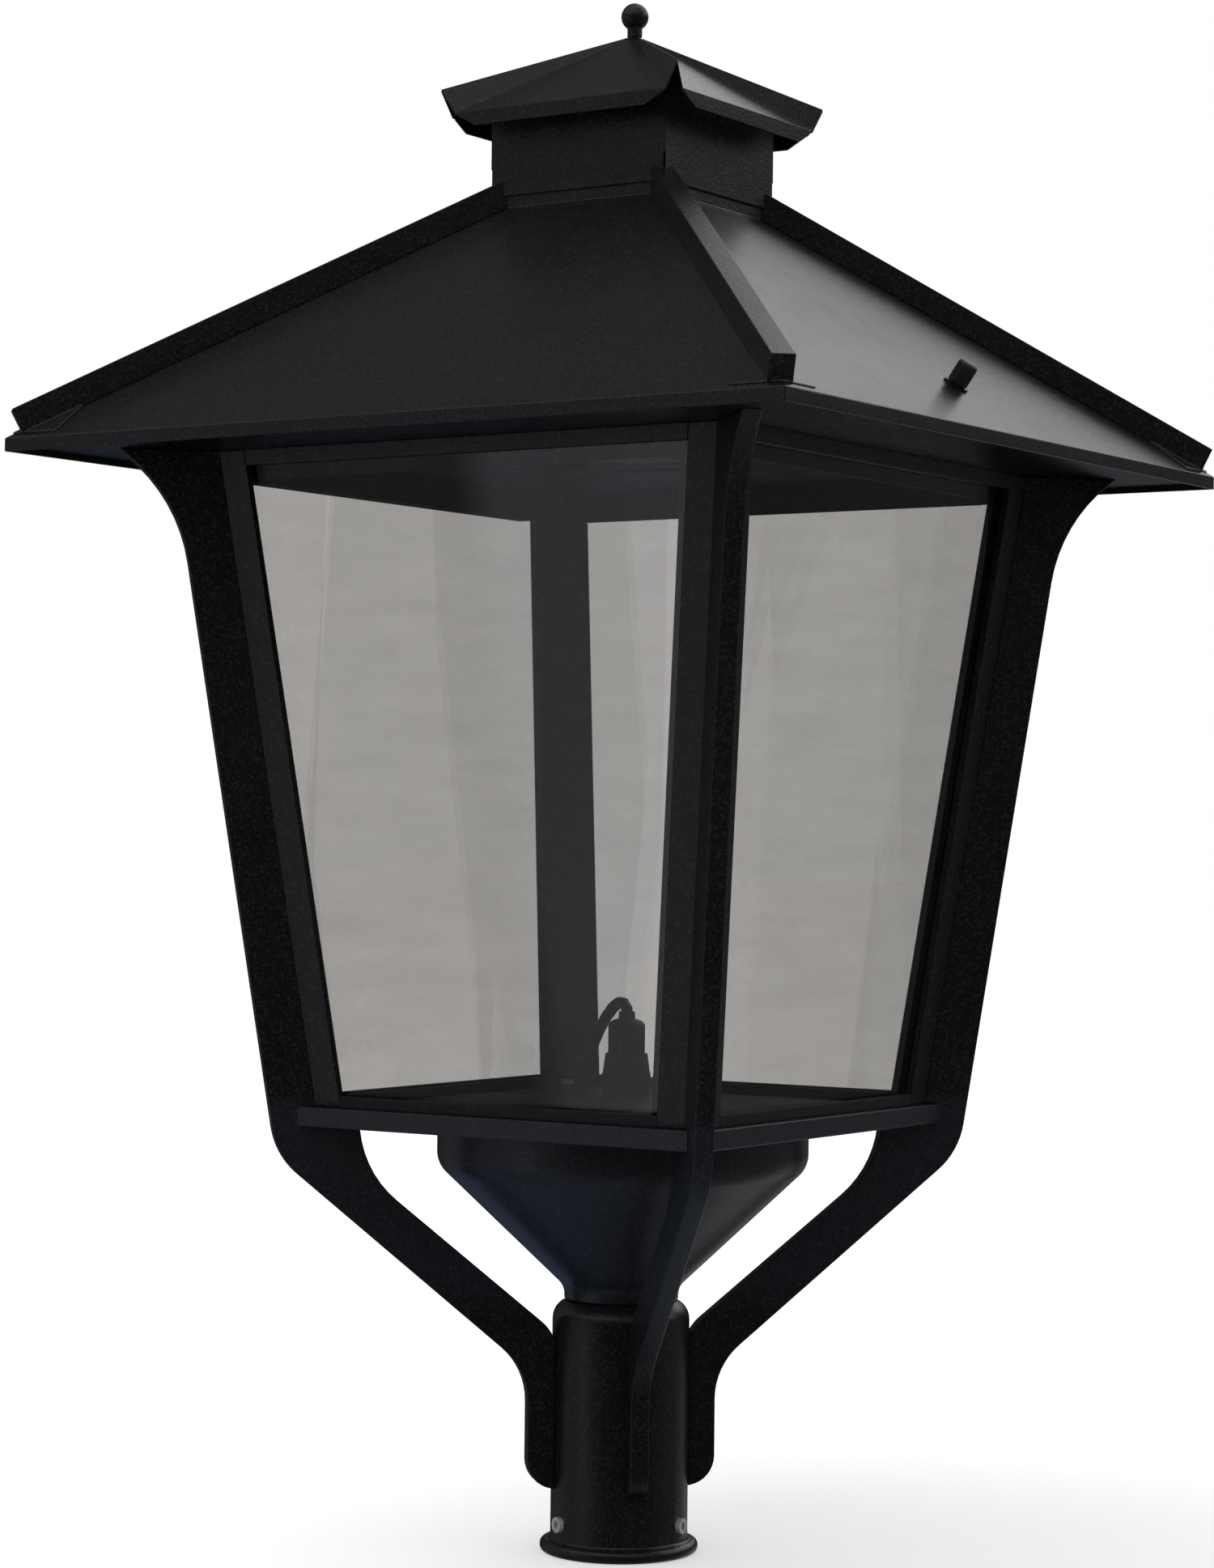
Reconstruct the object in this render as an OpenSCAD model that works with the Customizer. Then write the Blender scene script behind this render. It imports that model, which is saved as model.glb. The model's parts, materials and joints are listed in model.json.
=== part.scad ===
// Square post top lantern with a hip roof, a vented cupola and four cast arms.
// +Z is up. The origin is on the post axis at the mouth of the slip fitter.
// The front is -Y and the right is +X. The arms stand in the diagonal planes.

/* [Fitter] */
// Outside diameter of the slip fitter sleeve
fitter_od = 88.9; // [86:0.1:92]
// Bore of the sleeve, for a 76.2 mm post tenon
fitter_bore = 78; // [74:0.1:80]
// Depth of the bore from the mouth to the tenon stop
bore_depth = 125; // [90:1:140]
// Height of the sleeve from the mouth to its top face
fitter_h = 163; // [158:1:166]
// Radius of the rounded shoulder at the top of the sleeve
shoulder_r = 13; // [6:0.5:16]
// Outside diameter of the collar at the mouth
flange_od = 102.4; // [98:0.2:110]
// Height of the collar at the mouth
flange_t = 8; // [6:0.5:10]
// Height of the clamping screws above the mouth
screw_z = 20; // [16:1:40]
// Thread diameter of the clamping screws
screw_d = 10; // [8:0.5:12]
// Length of a clamping screw
screw_l = 8; // [7.5:0.25:10]
// Hexagon socket of the clamping screws, across flats
screw_socket = 5; // [4:0.5:6]
// Direction of the first clamping screw from the front
screw_turn = -26; // [-28:1:-10]
// Wire hole through the top of the sleeve and the floor of the bowl
wire_hole_d = 28; // [20:1:34]

/* [Wiring bowl] */
// Largest diameter of the bowl
bowl_d = 241; // [225:1:250]
// Diameter of the neck that stands on the fitter
bowl_neck_d = 74; // [66:1:78]
// Slope of the bowl's cone
bowl_slope = 43.5; // [41:0.5:45]
// Radius where the cone turns into the rim
bowl_rim_r = 18; // [10:1:24]
// Radius where the neck turns into the cone
bowl_neck_r = 12.5; // [8:0.5:20]
// Straight stretch of the neck under that radius
bowl_neck_land = 0.4; // [0.2:0.1:4]
// Sheet thickness of the bowl
bowl_wall = 2; // [1.5:0.25:3]
// Width of the flange that fixes the bowl under the deck
bowl_flange_w = 12; // [8:1:14]

/* [Deck] */
// How far the deck stands out past the glazed box's foot
deck_proud = 9; // [6:0.5:13]
// Height of the deck's top face above the mouth
deck_top = 288.5; // [284:0.5:294]
// Height of the deck's edge rail
deck_rail_h = 12.5; // [11:0.5:16]
// Width of the deck's edge rail
deck_rail_w = 4; // [3:0.5:6]
// Thickness of the deck inside its rail
deck_web = 6; // [4:0.5:8]

/* [Glazed box] */
// Outside width of the glazed box at the deck
box_foot_w = 293; // [288:1:298]
// Outside width of the glazed box at the canopy plate
box_head_w = 387; // [378:1:396]
// Width of a corner post's leg
post_leg = 28; // [24:1:34]
// Thickness of a corner post's leg
post_t = 5; // [4:0.5:7]
// Thickness of a glass pane
glass_t = 4; // [3:0.5:5]
// How far a pane's edge stays from the box's corner
glass_edge = 12; // [10.5:0.5:16]
// Height of the sill's outer lip above the deck
sill_h = 7; // [6:0.5:16]
// Thickness of the sill under the pane
sill_seat = 4; // [3:0.5:5]
// Height of the sill's inner lip above the deck
sill_inner_h = 6; // [5.5:0.5:12]
// Height of the top rail's outer lip
rail_h = 10; // [8:0.5:16]
// Thickness of the top rail over the pane
rail_seat = 2.7; // [2:0.1:5]
// Height of the top rail's inner lip
rail_inner_h = 18; // [12:0.5:26]
// Thickness of the inner lips of sills and top rails
lip_t = 2.5; // [2:0.25:4]
// Reach of a glass stop from the box's corner
stop_leg = 38; // [30:0.5:42]
// Thickness of a glass stop
stop_t = 2; // [1.5:0.25:3]
// Thickness of the wireway's cover
wireway_t = 1.5; // [1:0.25:2]
// Height of the wireway's opening above the deck
wireway_mouth = 32; // [26:1:60]

/* [Arms] */
// Thickness of the arms
arm_t = 12; // [10:0.5:14]
// How far an arm stands proud of the box's corner
arm_proud = 24; // [18:0.5:30]
// Width of an arm's upright foot on the fitter
arm_foot_w = 17.5; // [15:0.5:20]
// Height of the lower end of the foot
arm_foot_z = 41; // [32:1:60]
// Slope of the sloping stretch's outer edge
arm_slope = 40.2; // [39:0.2:41]
// Height where the outer edge's slope meets the foot
arm_heel_z = 118; // [110:1:124]
// Height where the inner edge's slope meets the fitter
arm_throat_z = 142; // [138:1:148]
// Reach of an arm's ledge under the deck, inwards from the box's corner
arm_ledge_l = 34.2; // [28:0.1:39]
// Radius at the lower end of the foot
foot_r = 20; // [10:1:22]
// Radius of the bend above the foot
heel_r = 45; // [20:1:50]
// Radius of the bend at the deck
elbow_r = 50; // [20:1:60]
// Radius of the inner bend under the deck
armpit_r = 68; // [30:1:74]
// Radius of the inner bend at the fitter
throat_r = 30; // [12:1:36]
// Radius of the flare under the eave
flare_r = 105; // [60:5:120]
// Reach of the flare's tip from the post axis
flare_tip_r = 331; // [320:1:345]
// Angle of the flare's tip from the upright
flare_angle = 52; // [46:1:56]

/* [Canopy plate] */
// Height of the canopy plate's underside
canopy_z = 704; // [702:0.5:705]
// Thickness of the canopy plate
canopy_t = 2.5; // [2:0.25:3]
// Gap between the canopy plate's rim and the roof's fascia
canopy_gap = 1.5; // [1:0.25:4]
// Thickness of the canopy plate's upturned rim
canopy_rim_t = 2; // [1.5:0.5:4]
// Diameter of the light's opening
light_d = 96; // [80:1:104]

/* [Roof] */
// Width of the roof over its fascia
eave_w = 569; // [568:1:576]
// Height of the fascia's lower edge
fascia_z = 700; // [697:0.5:701]
// Height of the fascia
fascia_h = 8.5; // [7.5:0.5:10]
// Pitch of the roof's panels
roof_pitch = 35.7; // [34:0.1:37]
// Sheet thickness of the roof
roof_t = 2; // [1.5:0.1:2.5]
// Width of the hip bars
hip_w = 14.5; // [10:0.5:20]
// Height of the hip bars above the hip
hip_h = 14; // [10:0.5:20]
// How far a hip bar's top corner stays from the eave's corner
hip_back = 4; // [2:0.5:20]
// Size of the flashing under a hip bar's foot, from the eave's corner along the eave
flashing_w = 36; // [24:1:50]
// Distance from the eave to the flashing's lower edge
flashing_in = 3.5; // [2:0.5:8]
// Thickness of the flashing
flashing_t = 1.2; // [0.8:0.1:2]

/* [Cupola] */
// Outside width of the cupola's collar
collar_w = 133; // [126:1:142]
// Gap between the roof's panels and the collar's lower edge
collar_lift = 8.9; // [7:0.1:13]
// Sheet thickness of the collar
collar_t = 1.5; // [1:0.1:2]
// Height of the roof's curb above the collar's lower edge
curb_h = 16; // [10:1:24]
// Length of the slits at the collar's corners
slit_h = 11; // [6:1:20]
// Width of the slits at the collar's corners
slit_w = 1.2; // [0.8:0.1:2]
// Width of the cap over its skirts
cap_w = 176; // [168:1:190]
// Height of the cap's apex above the collar's lower edge
cap_rise = 110.4; // [106:0.2:116]
// Depth of the fold between a cap panel and its skirt below the apex
cap_fold_drop = 57.4; // [53:0.2:60]
// Half length of a cap's fold
cap_fold_half = 80; // [74:1:83]
// Drop of the cap's skirts
cap_skirt = 9.5; // [7:0.5:14]
// How far a skirt's lower corner is cut back
cap_skirt_cut = 15; // [8:1:20]
// Height of the raised tips at the cap's corners above the folds
cap_tip_rise = 15.5; // [11:0.5:20]
// How far a raised tip stands out past the skirts' planes
cap_tip_out = 2; // [1:0.5:4]
// Sheet thickness of the cap
cap_t = 2; // [1.5:0.1:2.5]
// Diameter of the finial's ball
finial_d = 17.8; // [14:0.2:22]
// Diameter of the finial's neck
finial_neck_d = 9.7; // [9:0.1:12]
// Height of the finial's neck up to the centre of the ball
finial_neck_h = 13; // [11:0.5:18]
// Diameter of the finial's stud
stud_d = 8; // [6:0.5:8]
// Width of the strap across the collar
strap_w = 26; // [20:1:40]
// Thickness of the strap across the collar
strap_t = 3; // [2:0.5:5]
// Depth of the strap's ends
strap_drop = 16; // [10:1:24]
// Distance from the cap's apex to the strap
strap_below = 52; // [49:1:60]

/* [Roof latch] */
// Distance of the latch from the eave
latch_in = 46.5; // [43:0.5:50]
// Diameter of the latch's knob
knob_d = 13; // [10:0.5:18]
// Height of the latch's knob
knob_h = 15; // [12:0.5:22]
// Number of grip flutes round the knob
knob_flutes = 12; // [8:1:16]
// Diameter of the latch's stem
stem_d = 6.4; // [5:0.2:8]
// Reach of the latch's tongue
tongue_l = 24; // [20:0.5:25]
// Width of the latch's tongue
tongue_w = 10; // [8:0.5:12]
// Thickness of the latch's tongue
tongue_t = 2; // [1.5:0.25:3]
// Depth of the tongue's outer face below the roof's surface
tongue_depth = 12; // [11:0.5:14]
// Width of the strike
strike_w = 22; // [16:1:40]
// Thickness of the strike
strike_t = 2; // [1.5:0.25:2.5]
// Clearance between the tongue and the strike
latch_gap = 0.4; // [0.3:0.1:1]

/* [Light engine] */
// Height of the lens's flange
lens_flange_t = 3; // [2:0.5:5]
// Width of the lens's flange
lens_flange_w = 6; // [4:0.5:10]
// Thickness of the lamp board
board_t = 1.6; // [1:0.2:3]
// Width of the heat sink
sink_w = 130; // [124:1:150]
// Thickness of the heat sink's base
sink_base = 8; // [6:0.5:12]
// Height of the heat sink's fins
fin_h = 24; // [10:1:40]
// Thickness of a fin
fin_t = 2; // [1.5:0.25:3]
// Number of fins
fin_count = 11; // [5:1:15]

/* [Wiring] */
// Diameter of the lead
lead_d = 8; // [6:0.2:8.6]
// Across flats of the gland's body
gland_af = 32; // [28:1:34]
// Height of the gland's body above the deck
gland_body_h = 27; // [20:1:30]
// Diameter of the gland's dome nut
gland_nut_d = 25; // [20:1:28]
// Height of the gland's dome nut
gland_nut_h = 23.5; // [18:0.5:26]
// Height of the sealing nozzle that stands out of the dome nut
gland_nozzle_h = 5; // [2:0.5:6]
// Thread diameter of the gland
gland_thread = 20; // [16:1:20]
// Length of the driver
driver_l = 112; // [90:1:120]
// Width of the driver
driver_w = 44; // [36:1:48]
// Height of the driver
driver_h = 28; // [20:1:32]
// Drop of the wiring bracket below the deck
bracket_drop = 14; // [10:1:20]
// Number of poles of the terminal block
block_poles = 4; // [2:1:4]
// Pitch of the terminal block's poles
block_pitch = 9; // [7:0.5:9]
// Width of the terminal block
block_w = 18; // [16:0.5:18]
// Height of the terminal block
block_h = 16; // [12:0.5:20]
// Length of the surge protector
surge_l = 48; // [36:1:50]
// Width of the surge protector
surge_w = 28; // [20:1:30]
// Height of the surge protector
surge_h = 22; // [16:1:24]

/* [Screws] */
// Thread diameter of the screws through the deck into the arms
deck_screw_d = 6; // [5:0.5:6]
// How far the deck's screws reach into the arms
deck_screw_bite = 14; // [10:0.5:15]
// Thread diameter of the screws through the canopy plate into the arms
canopy_screw_d = 5; // [4:0.5:6]
// How far the canopy plate's screws reach into the arms
canopy_screw_bite = 12; // [8:0.5:13]
// Thread diameter of the small screws in the bowl, the strap and the heat sink
small_screw_d = 4; // [3:0.5:5]
// How far the bowl's screws reach into the deck
bowl_screw_bite = 4; // [3:0.25:4]
// Depth left free past the end of a screw
screw_relief = 1; // [0.5:0.25:2]

/* [Hidden] */

// Colours
coat = "#1b1c1e";
clear = [0.82, 0.85, 0.86, 0.35];
bright = "#b9bcc0";
nylon = "#26272a";
frosted = "#e9e9e2";

// Far larger than the lantern
big = 2400;
// Clearances between pieces of one body, and between bodies that part
seat_gap = 0.3;
fit_gap = 0.1;

// Heights that follow from the sizes above
deck_w = box_foot_w + 2 * deck_proud;
deck_under = deck_top - deck_rail_h;
web_under = deck_top - deck_web;
canopy_top = canopy_z + canopy_t;
eave_half = eave_w / 2;
eave_z = fascia_z + fascia_h;
fitter_r = fitter_od / 2;
canopy_w = eave_w - 2 * roof_t - 2 * canopy_gap;
latch_x = eave_half - latch_in;

// Lean of the box's walls
foot_half = box_foot_w / 2;
head_half = box_head_w / 2;
box_h = canopy_z - deck_top;
lean_run = (head_half - foot_half) / box_h;
lean = atan(lean_run);

// Layers of a wall, measured inwards from its outer face
glass_out = post_t + seat_gap;
glass_in = glass_out + glass_t;
lip_out = glass_in + seat_gap;
lip_in = lip_out + lip_t;

// Corners and sides, turned from the first one
CORNER = ["front_right", "back_right", "back_left", "front_left"];
SIDE = ["right", "back", "left", "front"];

// Half width of the box at a height
function wall_half(z) = foot_half + (z - deck_top) * lean_run;
// Roof surface over a distance from the centre
function roof_z(h) = eave_z + (eave_half - h) * tan(roof_pitch);
// Underside of the roof's panels over a distance from the centre
function under_z(h) = roof_z(h) - roof_t / cos(roof_pitch);
function unit(v) = v / norm(v);

// Screw holes, with clearance all round
deck_screw_hole = deck_screw_d + 2 * fit_gap;
canopy_screw_hole = canopy_screw_d + 2 * fit_gap;
small_screw_hole = small_screw_d + 2 * fit_gap;

// Points of a fillet of radius r at corner q between p and s
function fillet(p, q, s, r, n = 8) =
  let (
    a = unit(p - q),
    b = unit(s - q),
    half = acos(a * b) / 2,
    c = q + unit(a + b) * r / sin(half),
    u = q + a * r / tan(half) - c,
    v = q + b * r / tan(half) - c,
    from = atan2(u[1], u[0]),
    turn = (atan2(v[1], v[0]) - from + 540) % 360 - 180
  )
  [for (i = [0:n]) c + r * [cos(from + turn * i / n), sin(from + turn * i / n)]];

// Outline through corners [x, y, radius]
function rounded(pts) = [
  for (i = [0:len(pts) - 1])
    let (
      q = [pts[i][0], pts[i][1]],
      p = pts[(i + len(pts) - 1) % len(pts)],
      s = pts[(i + 1) % len(pts)]
    )
    each pts[i][2] == 0 ? [q] : fillet([p[0], p[1]], q, [s[0], s[1]], pts[i][2])
];

// A layer of space between two heights
module slab(z0, z1) {
  translate([-big / 2, -big / 2, z0])
    cube([big, big, z1 - z0]);
}

// All space inboard of the right wall's plane, moved in by inset
module inboard(inset) {
  translate([foot_half - inset, 0, deck_top])
    rotate([0, lean, 0])
      translate([-big, -big / 2, -big / 2])
        cube(big);
}

// The leaning box, with its four walls moved in by inset
module box_solid(inset, z0, z1) {
  intersection() {
    intersection_for (i = [0:3])
      rotate([0, 0, 90 * i]) inboard(inset);
    slab(z0, z1);
  }
}

// A strip of the right wall between two depths, its ends back from the corners
module wall_strip(outer, inner, ends, z0, z1) {
  difference() {
    intersection() {
      inboard(outer);
      rotate([0, 0, 90]) inboard(ends);
      rotate([0, 0, -90]) inboard(ends);
      slab(z0, z1);
    }
    inboard(inner);
    rotate([0, 0, 180])
      translate([0, -big / 2, 0])
        cube(big);
  }
}

// An angle in the front right corner, with legs that reach in from the corner
module corner_angle(outer, inner, reach, z0, z1) {
  difference() {
    box_solid(outer, z0, z1);
    box_solid(inner, z0 - 1, z1 + 1);
    inboard(reach);
    rotate([0, 0, -90]) inboard(reach);
  }
}

// The roof's solid over the eave, moved down by drop and in by inset
module roof_solid(drop = 0, inset = 0) {
  intersection() {
    intersection_for (i = [0:3])
      rotate([0, 0, 90 * i])
        translate([eave_half, 0, eave_z - drop])
          rotate([0, roof_pitch - 90, 0])
            translate([-big, -big / 2, -big / 2])
              cube(big);
    translate([inset - eave_half, inset - eave_half, fascia_z])
      cube([eave_w - 2 * inset, eave_w - 2 * inset, big / 4]);
  }
}

module square_tube(w, wall, z0, z1) {
  difference() {
    translate([-w / 2, -w / 2, z0]) cube([w, w, z1 - z0]);
    translate([wall - w / 2, wall - w / 2, z0 - 1])
      cube([w - 2 * wall, w - 2 * wall, z1 - z0 + 2]);
  }
}

// Round-headed screw with its head's seat at the origin and its shank downwards
module screw(d, l) {
  head_d = d * 1.75;
  head_h = d * 0.55;
  translate([0, 0, -l]) cylinder(d = d, h = l, $fn = 32);
  difference() {
    cylinder(d1 = head_d, d2 = head_d * 0.72, h = head_h, $fn = 32);
    translate([0, 0, head_h * 0.4]) cylinder(d = head_d * 0.5, h = head_h, $fn = 6);
  }
}

// Fitter
clamp_turns = [for (i = [0:2]) screw_turn - 90 + 120 * i];

module fitter() {
  outline = rounded([
    [0, 0, 0],
    [flange_od / 2, 0, flange_t * 0.45],
    [flange_od / 2, flange_t, flange_t * 0.45],
    [fitter_r, flange_t, 2],
    [fitter_r, fitter_h, shoulder_r],
    [0, fitter_h, 0],
  ]);
  color(coat)
    difference() {
      rotate_extrude($fn = 96) polygon(outline);
      translate([0, 0, -1]) cylinder(d = fitter_bore, h = bore_depth + 1, $fn = 96);
      translate([0, 0, -1]) cylinder(d = wire_hole_d, h = fitter_h + 2, $fn = 64);
      for (a = clamp_turns)
        rotate([0, 0, a]) translate([0, 0, screw_z]) rotate([0, 90, 0])
          cylinder(d = screw_d + 2 * fit_gap, h = fitter_od, $fn = 48);
    }
}

module clamp_screws() {
  color(bright)
    for (a = clamp_turns)
      rotate([0, 0, a])
        translate([fitter_bore / 2 + seat_gap, 0, screw_z])
          rotate([0, 90, 0])
            difference() {
              cylinder(d = screw_d, h = screw_l, $fn = 48);
              translate([0, 0, screw_l / 2])
                cylinder(d = screw_socket / cos(30), h = screw_l, $fn = 6);
            }
}

// Wiring bowl
bowl_r = bowl_d / 2;
neck_r = bowl_neck_d / 2;
rim_r = bowl_r + bowl_flange_w;
bowl_throat_z = fitter_h + bowl_wall + bowl_neck_land
  + bowl_neck_r * tan((90 - bowl_slope) / 2);
bowl_turn_z = bowl_throat_z + (bowl_r - neck_r) * tan(bowl_slope);
// Shift of a corner when the wall is moved in by the sheet
bowl_shift = bowl_wall * (1 - sin(bowl_slope)) / cos(bowl_slope);
bowl_screw_r = bowl_r + bowl_flange_w / 2;
bowl_screw_turns = [for (i = [0:5]) 60 * i];

module wiring_bowl() {
  outer = rounded([
    [wire_hole_d / 2, fitter_h, 0],
    [neck_r, fitter_h, 0],
    [neck_r, bowl_throat_z, bowl_neck_r],
    [bowl_r, bowl_turn_z, bowl_rim_r],
    [bowl_r, web_under - bowl_wall, 0],
    [rim_r, web_under - bowl_wall, 0],
    [rim_r, web_under, 0],
    [bowl_r - bowl_wall, web_under, 0],
    [bowl_r - bowl_wall, bowl_turn_z + bowl_shift, bowl_rim_r - bowl_wall],
    [neck_r - bowl_wall, bowl_throat_z + bowl_shift, bowl_neck_r + bowl_wall],
    [neck_r - bowl_wall, fitter_h + bowl_wall, 0],
    [wire_hole_d / 2, fitter_h + bowl_wall, 0],
  ]);
  color(coat)
    difference() {
      rotate_extrude($fn = 96) polygon(outer);
      for (a = bowl_screw_turns)
        rotate([0, 0, a]) translate([bowl_screw_r, 0, web_under - bowl_wall - 1])
          cylinder(d = small_screw_hole, h = bowl_wall + 2, $fn = 32);
    }
}

module bowl_screws() {
  color(bright)
    for (a = bowl_screw_turns)
      rotate([0, 0, a]) translate([bowl_screw_r, 0, web_under - bowl_wall])
        rotate([180, 0, 0]) screw(small_screw_d, bowl_wall + bowl_screw_bite);
}

// Deck
gland_pos = [-53, 85];
slot_r = foot_half * sqrt(2);
arm_ledge_r = slot_r - arm_ledge_l;
deck_screw_r = slot_r - arm_ledge_l / 2;

module deck() {
  color(coat)
    difference() {
      translate([-deck_w / 2, -deck_w / 2, deck_under])
        cube([deck_w, deck_w, deck_rail_h]);
      translate([deck_rail_w - deck_w / 2, deck_rail_w - deck_w / 2, deck_under - 1])
        cube([
          deck_w - 2 * deck_rail_w,
          deck_w - 2 * deck_rail_w,
          deck_rail_h - deck_web + 1
        ]);
      for (i = [0:3])
        rotate([0, 0, 90 * i - 45]) {
          translate([slot_r, -arm_t / 2 - fit_gap, deck_under - 1])
            cube([deck_w, arm_t + 2 * fit_gap, deck_rail_h + 2]);
          translate([deck_screw_r, 0, web_under - 1])
            cylinder(d = deck_screw_hole, h = deck_web + 2, $fn = 32);
        }
      translate([gland_pos[0], gland_pos[1], web_under - 1])
        cylinder(d = gland_thread + 2 * fit_gap, h = deck_web + 2, $fn = 48);
      for (a = bowl_screw_turns)
        rotate([0, 0, a]) translate([bowl_screw_r, 0, web_under - 1])
          cylinder(d = small_screw_hole, h = bowl_screw_bite + 1.2, $fn = 32);
      for (p = bracket_holes)
        translate([p[0], p[1], web_under - 1])
          cylinder(d = small_screw_hole, h = bowl_screw_bite + 1.2, $fn = 32);
    }
}

module deck_screws() {
  color(bright)
    for (i = [0:3])
      rotate([0, 0, 90 * i - 45])
        translate([deck_screw_r, 0, deck_top])
          screw(deck_screw_d, deck_web + deck_screw_bite);
}

// A blind hole downwards from a height, at a distance from the post axis
module screw_hole(r, z, d, bite) {
  translate([r, 0, z - bite - screw_relief])
    cylinder(d = d, h = bite + screw_relief + 1, $fn = 32);
}

// Arms
foot_out = fitter_r + arm_foot_w;
proud_run = lean_run * sqrt(2);
function corner_r(z) = wall_half(z) * sqrt(2);
function arm_out(z) = corner_r(z) + arm_proud;
// Where the sloping outer edge meets the leaning one
elbow_z = (arm_heel_z + (arm_out(0) - foot_out) * tan(arm_slope))
  / (1 - proud_run * tan(arm_slope));
// Where the flare's tip line meets the leaning edge
flare_z = (flare_tip_r - arm_out(0) - canopy_z * tan(flare_angle))
  / (proud_run - tan(flare_angle));
ledge_corner_z = deck_top - 40;
inner_slope_run = (ledge_corner_z - arm_throat_z) / (arm_ledge_r - fitter_r);

module arm_blade() {
  outline = rounded([
    [fitter_r - 2, arm_foot_z, 0],
    [foot_out, arm_foot_z + 3, foot_r * 0.95],
    [foot_out, arm_heel_z, heel_r],
    [arm_out(elbow_z), elbow_z, elbow_r],
    [arm_out(flare_z), flare_z, flare_r],
    [flare_tip_r, canopy_z, 0],
    [corner_r(canopy_z) - arm_t, canopy_z, 0],
    [corner_r(deck_top) - arm_t, deck_top, 0],
    [slot_r, deck_top, 0],
    [slot_r, web_under, 0],
    [arm_ledge_r, web_under, 0],
    [arm_ledge_r, ledge_corner_z, armpit_r],
    [fitter_r - 2, arm_throat_z - 2 * inner_slope_run, throat_r],
  ]);
  difference() {
    rotate([90, 0, 0])
      linear_extrude(height = arm_t, center = true)
        polygon(outline);
    cylinder(r = fitter_r, h = fitter_h, $fn = 96);
    rotate([0, 0, 45]) box_solid(0, deck_top, canopy_z + 1);
    screw_hole(deck_screw_r, web_under, deck_screw_hole, deck_screw_bite);
    screw_hole(canopy_screw_r, canopy_z, canopy_screw_hole, canopy_screw_bite);
  }
}

module arm(i) {
  color(coat)
    rotate([0, 0, 90 * i - 45]) arm_blade();
}

// Glazed box
module post(i) {
  color(coat)
    rotate([0, 0, 90 * i])
      corner_angle(0, post_t, post_leg, deck_top, canopy_z);
}

module pane(i) {
  color(clear)
    rotate([0, 0, 90 * i])
      wall_strip(
        glass_out, glass_in, glass_edge,
        deck_top + sill_seat, canopy_z - rail_seat - seat_gap
      );
}

module sill(i) {
  color(coat)
    rotate([0, 0, 90 * i]) {
      wall_strip(0, post_t, post_leg, deck_top, deck_top + sill_h);
      wall_strip(0, lip_in, post_leg, deck_top, deck_top + sill_seat);
      wall_strip(lip_out, lip_in, post_leg, deck_top, deck_top + sill_inner_h);
    }
}

module top_rail(i) {
  color(coat)
    rotate([0, 0, 90 * i]) {
      wall_strip(0, post_t, post_leg, canopy_z - rail_h, canopy_z);
      wall_strip(0, lip_in, post_leg, canopy_z - rail_seat, canopy_z);
      wall_strip(lip_out, lip_in, post_leg, canopy_z - rail_inner_h, canopy_z);
    }
}

stop_z0 = deck_top + sill_inner_h + seat_gap;
stop_z1 = canopy_z - rail_inner_h - seat_gap;

module glass_stop(i) {
  color(coat)
    rotate([0, 0, 90 * i])
      corner_angle(lip_out, lip_out + stop_t, stop_leg, stop_z0, stop_z1);
}

// The cover spans the back left glass stop's legs and makes a duct for the lead
module wireway_cover() {
  inner = lip_out + stop_t;
  half = (stop_leg - inner) / sqrt(2);
  color(coat)
    rotate([0, 0, 135])
      difference() {
        translate([corner_r(deck_top) - (stop_leg + inner) / sqrt(2), 0, deck_top])
          rotate([0, atan(proud_run), 0])
            translate([-wireway_t, -half, -big / 8])
              cube([wireway_t, 2 * half, big / 2]);
        slab(deck_top - big / 2, stop_z0);
        slab(stop_z1, big);
        translate([0, -half / 2, 0])
          cube([corner_r(deck_top) + 20, half, deck_top + wireway_mouth]);
      }
}

// Canopy plate
canopy_screw_r = corner_r(canopy_z) + 14;
lead_exit = wall_half(canopy_z) - lip_out - stop_t - lead_d * 0.75;

module canopy_plate() {
  half = canopy_w / 2;
  rim_z = under_z(half) - seat_gap;
  sink_hole = sink_w / 2 - 8;
  color(coat)
    difference() {
      union() {
        translate([-half, -half, canopy_z]) cube([canopy_w, canopy_w, canopy_t]);
        square_tube(canopy_w, canopy_rim_t, canopy_z, rim_z);
      }
      translate([0, 0, canopy_z - 1]) cylinder(d = light_d, h = canopy_t + 2, $fn = 96);
      translate([-lead_exit, lead_exit, canopy_z - 1])
        cylinder(d = lead_d + 4, h = canopy_t + 2, $fn = 32);
      for (i = [0:3])
        rotate([0, 0, 90 * i]) {
          rotate([0, 0, -45]) translate([canopy_screw_r, 0, canopy_z - 1])
            cylinder(d = canopy_screw_hole, h = canopy_t + 2, $fn = 32);
          translate([sink_hole, sink_hole, canopy_z - 1])
            cylinder(d = small_screw_hole, h = canopy_t + 2, $fn = 32);
        }
    }
}

module canopy_screws() {
  color(bright)
    for (i = [0:3])
      rotate([0, 0, 90 * i - 45])
        translate([canopy_screw_r, 0, canopy_top])
          screw(canopy_screw_d, canopy_t + canopy_screw_bite);
}

// Light engine
light_r = light_d / 2;
lens_top = canopy_top + lens_flange_t;
board_z = lens_top + seat_gap;
sink_z = board_z + board_t;

module lens() {
  color(frosted)
    difference() {
      union() {
        translate([0, 0, canopy_z]) cylinder(r = light_r - seat_gap, h = canopy_t, $fn = 96);
        translate([0, 0, canopy_top])
          cylinder(r = light_r + lens_flange_w, h = lens_flange_t, $fn = 96);
      }
      translate([0, 0, canopy_top])
        cylinder(r = light_r - 4, h = lens_flange_t + 1, $fn = 96);
    }
}

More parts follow.
